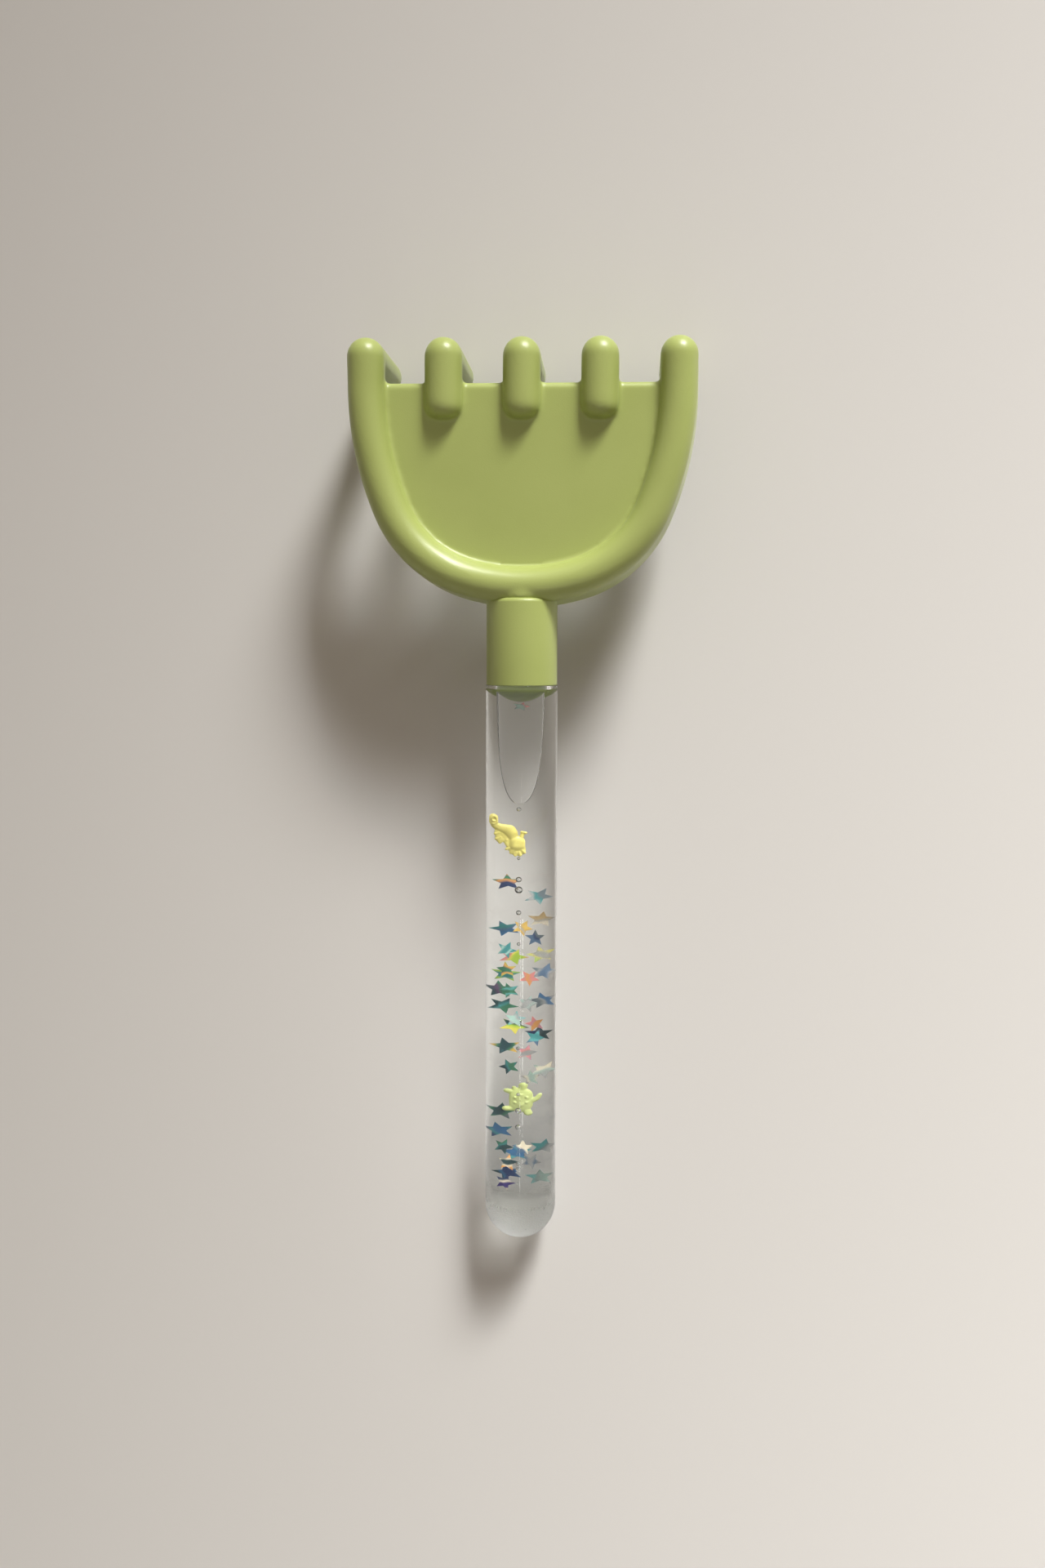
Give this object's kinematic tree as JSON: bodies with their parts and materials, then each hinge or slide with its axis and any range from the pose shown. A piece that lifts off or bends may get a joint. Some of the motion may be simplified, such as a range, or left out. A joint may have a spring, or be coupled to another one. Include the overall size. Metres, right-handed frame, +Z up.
{
  "type": "sand rake",
  "caption": "Child's sand rake: a green moulded head with round tines, joined by a collar to a clear liquid-filled tube handle holding star confetti, a seahorse and a turtle.",
  "frame": {"origin": "bottom centre of the bounding box, on the surface that the tine tips and the handle's round end rest on", "axes": "+Y from the handle's round end toward the tines, +Z up, +X to the right when the head points away"},
  "size_m": [0.1014, 0.2664, 0.0472],
  "materials": {
    "green_plastic": "satin with a fine moulded grain",
    "clear_acrylic": "clear and glossy",
    "olive_plastic": "satin",
    "clear_liquid": "clear liquid",
    "yellow_plastic": "satin",
    "lime_plastic": "satin",
    "star_navy": "iridescent film",
    "star_teal": "iridescent film",
    "star_gold": "iridescent film",
    "star_green": "iridescent film",
    "star_pink": "iridescent film",
    "star_silver": "iridescent film"
  },
  "bodies": {
    "rake": {"rake_head": "green_plastic", "collar": "green_plastic", "handle_tube": "clear_acrylic", "tube_plug": "olive_plastic", "liquid": "clear_liquid", "star_on_plug": "star_teal"},
    "seahorse": {"seahorse": "yellow_plastic"},
    "turtle": {"turtle": "lime_plastic"},
    "confetti_upper": {"star_01": "star_navy", "star_02": "star_teal", "star_03": "star_gold", "star_04": "star_gold", "star_05": "star_navy", "star_06": "star_navy", "star_07": "star_teal", "star_08": "star_green", "star_09": "star_gold", "star_10": "star_green", "star_11": "star_silver", "star_12": "star_green", "star_13": "star_pink"},
    "confetti_middle": {"star_14": "star_green", "star_15": "star_pink", "star_16": "star_silver", "star_17": "star_silver", "star_18": "star_green", "star_19": "star_silver", "star_20": "star_pink", "star_21": "star_green", "star_22": "star_navy", "star_23": "star_teal", "star_24": "star_navy", "star_25": "star_pink", "star_26": "star_teal", "star_27": "star_silver", "star_28": "star_silver"},
    "confetti_lower": {"star_29": "star_green", "star_30": "star_navy", "star_31": "star_teal", "star_32": "star_gold", "star_33": "star_silver", "star_34": "star_teal", "star_35": "star_silver", "star_36": "star_gold", "star_37": "star_navy", "star_38": "star_navy", "star_39": "star_teal"}
  },
  "joints": [
    {"name": "seahorse_drift", "type": "slide", "parent": "rake", "child": "seahorse", "axis": [0, 0.9942, 0.1079], "range_m": [-0.097, 0.029], "deforming": ["liquid"]},
    {"name": "turtle_drift", "type": "slide", "parent": "rake", "child": "turtle", "axis": [0, 0.9942, 0.1079], "range_m": [-0.0215, 0.107], "deforming": ["liquid"]},
    {"name": "confetti_drift", "type": "slide", "parent": "rake", "child": "confetti_middle", "axis": [0, 0.9942, 0.1079], "range_m": [-0.001, 0.041], "deforming": ["liquid"]},
    {"name": "upper_confetti_drift", "type": "slide", "parent": "rake", "child": "confetti_upper", "axis": [0, 0.9942, 0.1079], "range_m": [-0.0012, 0.048], "deforming": ["liquid"]},
    {"name": "lower_confetti_drift", "type": "slide", "parent": "rake", "child": "confetti_lower", "axis": [0, 0.9942, 0.1079], "range_m": [-0.0009, 0.035], "deforming": ["liquid"]}
  ],
  "couplings": [
    {"joint": "upper_confetti_drift", "follows": "confetti_drift", "ratio": 1.15},
    {"joint": "lower_confetti_drift", "follows": "confetti_drift", "ratio": 0.85}
  ]
}
